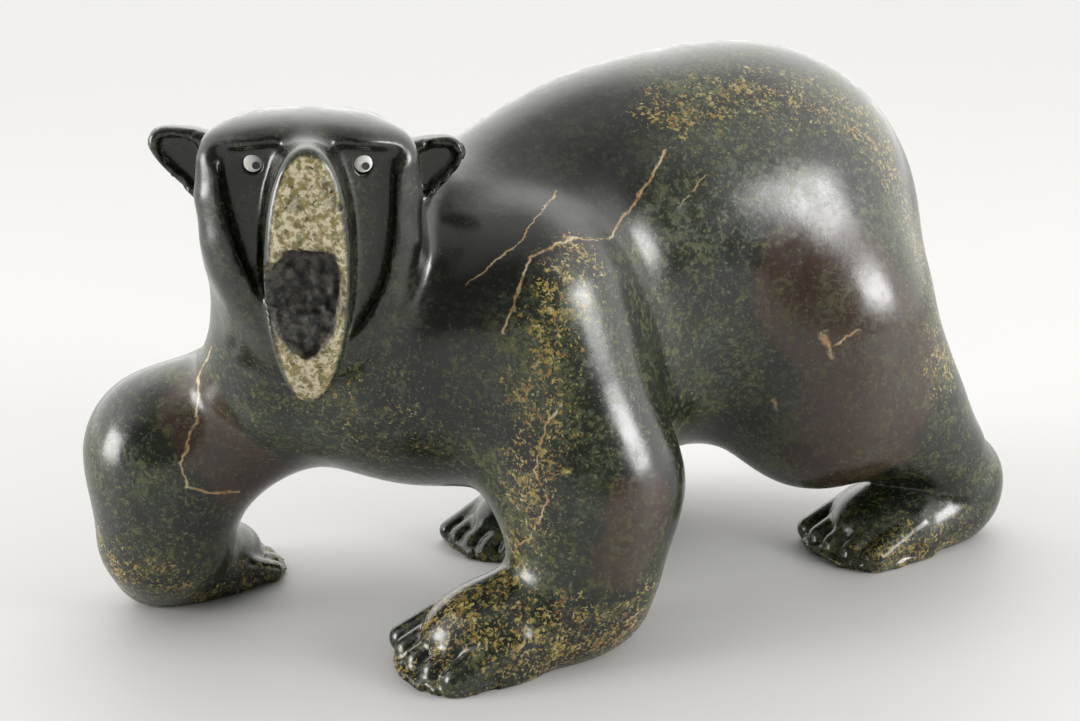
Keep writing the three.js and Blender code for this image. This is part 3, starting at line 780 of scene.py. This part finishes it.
def serpentine():
    s = Stone("polished_serpentine")
    gold, plum, ink = (s.attribute(n) for n in ("gold", "plum", "ink"))
    snout, cavity, painted_nostril_shade = (s.attribute(n) for n in ("snout", "cavity", "painted_nostril_shade"))
    cloud = s.noise(34, 3, 0.55)
    patch = s.noise(9, 4, 0.62)
    grain = s.noise(2.4, 4, 0.62, 0.3)
    quiet = s.math("SUBTRACT", 1.0, s.most(s.times(ink, 0.8), s.times(plum, 0.45)), clamp=True)
    shaken = s.vector("ADD", s.place, s.shaken(1.6, 2, 1.3))

    colour = s.blend(s.steps(cloud, 0.35, 0.65), (0.0055, 0.0075, 0.0050), (0.017, 0.023, 0.012))
    colour = s.blend(s.times(ink, 0.8), colour, (0.0042, 0.0042, 0.0036))
    plum_tone = s.blend(s.noise(5, 3, 0.6), (0.024, 0.013, 0.009), (0.062, 0.036, 0.026))
    plum_area = s.steps(s.math("ADD", plum, s.times(s.math("SUBTRACT", patch, 0.5), 0.9)), 0.35, 0.75)
    colour = s.blend(plum_area, colour, plum_tone)

    lively = s.math(
        "ADD", s.times(s.math("SUBTRACT", patch, 0.5), 1.1), s.times(s.math("SUBTRACT", cloud, 0.5), 0.9))
    olive = s.blend(s.steps(s.noise(6, 2), 0.42, 0.6), (0.050, 0.062, 0.036), (0.085, 0.092, 0.022))
    level = s.steps(s.math("ADD", grain, s.times(lively, 0.35)), 0.46, 0.66)
    colour = s.blend(s.times(level, quiet, 0.8), colour, olive)
    specks = s.math("ADD", s.noise(1.25, 3, 0.65, 0.5), s.times(lively, 0.16))
    light_specks = s.times(s.steps(specks, 0.575, 0.655), quiet)
    speck_tone = s.blend(s.steps(s.noise(3.2, 2), 0.4, 0.6), (0.075, 0.105, 0.055), (0.17, 0.175, 0.080))
    colour = s.blend(s.times(light_specks, 0.75), colour, speck_tone)

    tint = s.noise(2.6, 3, 0.7, 0.4)
    gold_tone = s.blend(s.steps(tint, 0.40, 0.48), (0.20, 0.095, 0.030), (0.27, 0.215, 0.055))
    gold_tone = s.blend(s.steps(tint, 0.56, 0.64), gold_tone, (0.42, 0.36, 0.20))
    clusters = s.times(s.math("SUBTRACT", s.noise(7, 4, 0.7), 0.5), 0.55)
    wealth = s.math("ADD", s.times(gold, 0.165), s.times(clusters, s.steps(gold, 0.02, 0.3)))
    scatter = s.math("ADD", s.noise(1.5, 3, 0.65, 0.7), wealth)
    flake = s.times(s.steps(scatter, 0.66, 0.73), s.steps(gold, 0.02, 0.2))
    colour = s.blend(flake, colour, gold_tone)

    wander, ripple = s.shaken(16, 3, 9.0), s.shaken(2.2, 2, 1.6)
    bent = s.vector("ADD", s.vector("ADD", s.place, wander), ripple)
    lines = []
    for line, out, width in VEINS:
        for a, b in zip(line, line[1:]):
            lines.append(s.sheet(bent, a, b, out, width))
    vein = s.times(s.most(*lines), s.steps(s.noise(6, 3, 0.7), 0.32, 0.52))
    vein_tone = s.blend(s.steps(s.noise(9, 1), 0.4, 0.6), (0.36, 0.22, 0.09), (0.50, 0.42, 0.25))
    colour = s.blend(vein, colour, vein_tone)

    middle, chance, tint = s.grains(1.7, shaken)
    cream = s.blend(s.steps(s.noise(3.0, 4, 0.72, 0.4), 0.42, 0.56), (0.17, 0.15, 0.040), (0.56, 0.50, 0.34))
    cream = s.blend(s.times(s.steps(chance, 0.45, 0.6), s.steps(middle, 0.7, 0.4), 0.75), cream, s.blend(
        tint, (0.30, 0.20, 0.06), (0.11, 0.115, 0.030)))
    cream = s.blend(s.steps(s.noise(1.9, 4, 0.7, 0.4), 0.57, 0.65), cream, (0.050, 0.052, 0.022))
    colour = s.blend(snout, colour, cream)
    inside = s.blend(s.steps(s.noise(3.0, 4, 0.65), 0.40, 0.62), (0.006, 0.007, 0.006), (0.085, 0.080, 0.060))
    colour = s.blend(cavity, colour, inside)
    # Painted shade: the nostril grooves darkened towards near black.
    colour = s.blend(s.times(painted_nostril_shade, 0.92), colour, (0.012, 0.012, 0.009))

    rough = s.steps(s.noise(9, 4, 0.6), 0.3, 0.7, 0.19, 0.27)
    rough = s.math("ADD", rough, s.times(s.most(level, vein, flake), 0.06))
    rough = s.math("MAXIMUM", rough, s.times(snout, 0.46))
    rough = s.math("MAXIMUM", rough, s.times(cavity, 0.62))

    s.feed(s.shader.inputs["Base Color"], colour)
    s.feed(s.shader.inputs["Roughness"], rough)
    s.shader.inputs["IOR"].default_value = 1.56

    wave = s.bump(s.noise(7, 3, 0.5), 0.06, 1.2)
    pitted = s.steps(s.math("MAXIMUM", snout, cavity), 0, 1, 0.05, 0.9)
    s.feed(s.shader.inputs["Normal"], s.bump(s.noise(0.9, 4, 0.65), pitted, 0.25, wave))
    return s.material


def inlay(name, grain, light, dark, rough, relief):
    """A plug's material: two tones mixed by grain, a roughness range, and relief as (size, strength, distance)."""
    s = Stone(name)
    size, low, high = grain
    tone = s.blend(s.steps(s.noise(size, 3, 0.6), low, high), light, dark)
    s.feed(s.shader.inputs["Base Color"], tone)
    spread, smooth, dull = rough
    s.feed(s.shader.inputs["Roughness"], s.steps(s.noise(spread, 2), 0.3, 0.7, smooth, dull))
    size, strength, distance = relief
    s.feed(s.shader.inputs["Normal"], s.bump(s.noise(size, 3), strength, distance))
    return s.material


final = (where + shift) * MM
stone_mesh.vertices.foreach_set("co", final.astype(np.float32).ravel())
for name, values in (("gold", gold), ("plum", plum), ("ink", ink), ("snout", snout), ("cavity", cavity),
                     ("painted_nostril_shade", painted_nostril_shade)):
    zone(stone_mesh, name, values)
stone_mesh.update()
piece("bear_stone", stone_mesh, serpentine(), "bear_body")


def turned_mesh(name, profile, centre, sides=64):
    """A profile of (radius, forward) pairs turned about the head's forward line, in millimetres."""
    forward, aside, up = HEAD_AXES.T
    made = bmesh.new()
    rings = []
    for radius, out in profile:
        middle = centre + forward * out
        if radius == 0:
            rings.append([made.verts.new(middle * MM)])
            continue
        ring = []
        for i in range(sides):
            t = 2 * math.pi * i / sides
            ring.append(made.verts.new((middle + radius * (aside * math.cos(t) + up * math.sin(t))) * MM))
        rings.append(ring)
    for a, b in zip(rings, rings[1:]):
        for i in range(sides):
            j = (i + 1) % sides
            corners = [a[i % len(a)], a[j % len(a)], b[j % len(b)], b[i % len(b)]]
            face = list(dict.fromkeys(corners))
            made.faces.new(face)
    bmesh.ops.recalc_face_normals(made, faces=made.faces)
    mesh = bpy.data.meshes.new(name)
    made.to_mesh(mesh)
    made.free()
    return mesh


def centre_of(node):
    low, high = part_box(node)
    return (np.array(low) + np.array(high)) / 2 / MM


bone_white = inlay("eye_bone", (0.9, 0.4, 0.65), (0.93, 0.92, 0.88), (0.84, 0.81, 0.74), (0.6, 0.28, 0.42),
                   (0.5, 0.15, 0.05))
pupil_grey = inlay("pupil_stone", (0.5, 0.4, 0.6), (0.035, 0.036, 0.040), (0.075, 0.076, 0.080),
                   (0.4, 0.25, 0.4), (0.35, 0.2, 0.04))


def eye_profile():
    top, edge = EYE_THICK / 2, EYE_THICK / 2 - EYE_DOME
    profile = [(0, -top), (EYE_RADIUS * 0.5, -top), (EYE_RADIUS * 0.96, -top), (EYE_RADIUS, -top + 0.2),
               (EYE_RADIUS, edge)]
    for i in range(1, 13):
        a = i / 12 * math.pi / 2
        profile.append((EYE_RADIUS * math.cos(a) if i < 12 else 0, edge + EYE_DOME * math.sin(a)))
    return profile


def pupil_profile():
    """A plug with a rounded lip and a shallow ring cut in its face."""
    top = PUPIL_THICK / 2 + 0.1
    face = [(0.92, top), (0.62, top + 0.02), (0.52, top - 0.1), (0.38, top - 0.04), (0, top)]
    side = [(0, -top), (0.9, -top), (1, -top + 0.1), (1, top - 0.15)]
    return [(PUPIL_RADIUS * share, out) for share, out in side + face]


for name in ("right", "left"):
    eye = turned_mesh(f"eye_bone_{name}", eye_profile(), centre_of(f"eye_{name}"))
    piece(f"eye_bone_{name}", eye, bone_white, f"eye_{name}")
    pupil = turned_mesh(f"eye_pupil_{name}", pupil_profile(), centre_of(f"pupil_{name}"))
    piece(f"eye_pupil_{name}", pupil, pupil_grey, f"pupil_{name}")

# ---------------------------------------------------------------- studio

FLOOR_RADIUS = 6
CAMERA_AT = (-328, -545, 274)
CAMERA_TURN, CAMERA_DIP, CAMERA_ROLL, CAMERA_ANGLE = 30.0, 16.5, -1.0, 36.0
WALLS_AZIMUTH = 148
WORLD_STRENGTH = 2.1
AIM = Vector((0, 0, 0.1))


def painted(name, colour, roughness):
    s = Stone(name)
    s.feed(s.shader.inputs["Base Color"], s.blend(s.noise(40, 3), colour, tuple(c * 0.985 for c in colour)))
    s.shader.inputs["Roughness"].default_value = roughness
    return s.material


floor_mesh = bpy.data.meshes.new("floor")
rim = [(math.cos(a) * FLOOR_RADIUS, math.sin(a) * FLOOR_RADIUS, 0)
       for a in (2 * math.pi * i / 96 for i in range(96))]
floor_mesh.from_pydata(rim, [], [list(range(96))])
floor = bpy.data.objects.new("floor", floor_mesh)
floor_mesh.materials.append(painted("pale_floor", (0.57, 0.565, 0.56), 0.6))
bpy.context.scene.collection.objects.link(floor)
floor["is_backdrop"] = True


def studio():
    world = bpy.data.worlds.new("studio")
    world.use_nodes = True
    tree = world.node_tree
    background = tree.nodes["Background"]
    where = tree.nodes.new("ShaderNodeTexCoord").outputs["Generated"]

    def toward(direction, dark, bright, low):
        """Light that grows from low to 1 as a ray turns toward a direction."""
        facing = tree.nodes.new("ShaderNodeVectorMath")
        facing.operation = "DOT_PRODUCT"
        tree.links.new(where, facing.inputs[0])
        facing.inputs[1].default_value = direction
        ramp = tree.nodes.new("ShaderNodeMapRange")
        ramp.interpolation_type = "SMOOTHSTEP"
        for socket, value in zip(list(ramp.inputs)[1:5], (dark, bright, low, 1.0)):
            socket.default_value = value
        tree.links.new(facing.outputs["Value"], ramp.inputs[0])
        return ramp.outputs[0]

    away = math.radians(WALLS_AZIMUTH)
    walls = toward((math.sin(away), -math.cos(away), 0), -0.62, -0.10, 0.08)
    ceiling = toward((0, 0, -1), -0.93, -0.70, 0.35)
    both = tree.nodes.new("ShaderNodeMath")
    both.operation = "MULTIPLY"
    tree.links.new(walls, both.inputs[0])
    tree.links.new(ceiling, both.inputs[1])
    bright = tree.nodes.new("ShaderNodeMath")
    bright.operation = "MULTIPLY"
    bright.inputs[1].default_value = WORLD_STRENGTH
    tree.links.new(both.outputs[0], bright.inputs[0])
    tree.links.new(bright.outputs[0], background.inputs["Strength"])
    background.inputs["Color"].default_value = (1.0, 0.99, 0.975, 1)
    bpy.context.scene.world = world


def softbox(name, azimuth, elevation, far, width, height, power):
    """A soft light aimed at the bear. Azimuth 0 is out from the bear's left side, 90 behind its rump."""
    az, el = math.radians(azimuth), math.radians(elevation)
    at = Vector((math.sin(az) * math.cos(el), -math.cos(az) * math.cos(el), math.sin(el))) * far
    at += AIM
    lamp = bpy.data.lights.new(name, "AREA")
    lamp.shape = "RECTANGLE"
    lamp.size, lamp.size_y, lamp.energy = width, height, power
    made = bpy.data.objects.new(name, lamp)
    made.matrix_world = Matrix.Translation(at) @ (AIM - at).to_track_quat("-Z", "Y").to_matrix().to_4x4()
    bpy.context.scene.collection.objects.link(made)


studio()
softbox("window_right", 40, 18, 1.6, 0.6, 0.5, 16)
softbox("window_left", -104, 10, 1.6, 0.6, 0.7, 18)

sky = bpy.data.lights.new("sky", "SUN")
sky.energy, sky.angle = 0.25, math.radians(70)
sky_lamp = bpy.data.objects.new("sky", sky)
sky_lamp.matrix_world = Vector((0.45, 0.75, 1.2)).to_track_quat("Z", "Y").to_matrix().to_4x4()
bpy.context.scene.collection.objects.link(sky_lamp)

turn, dip, roll = (math.radians(a) for a in (CAMERA_TURN, CAMERA_DIP, CAMERA_ROLL))
right = Vector((math.cos(turn), -math.sin(turn), 0))
level = Vector((math.sin(turn), math.cos(turn), 0))
forward = level * math.cos(dip) - Vector((0, 0, math.sin(dip)))
above = level * math.sin(dip) + Vector((0, 0, math.cos(dip)))
across = right * math.cos(roll) + above * math.sin(roll)
upward = above * math.cos(roll) - right * math.sin(roll)
lens = bpy.data.cameras.new("camera")
lens.sensor_width = 36
lens.angle = math.radians(CAMERA_ANGLE)
lens.clip_start = 0.01
camera = bpy.data.objects.new("camera", lens)
camera_place = Matrix.Translation(Vector(np.array(CAMERA_AT) + shift) * MM)
camera.matrix_world = camera_place @ Matrix((across, upward, -forward)).transposed().to_4x4()
bpy.context.scene.collection.objects.link(camera)
bpy.context.scene.camera = camera
bpy.context.scene.view_settings.view_transform = "Standard"

own_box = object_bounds()
[[list(c) for c in b] for b in (cad_box, own_box)]
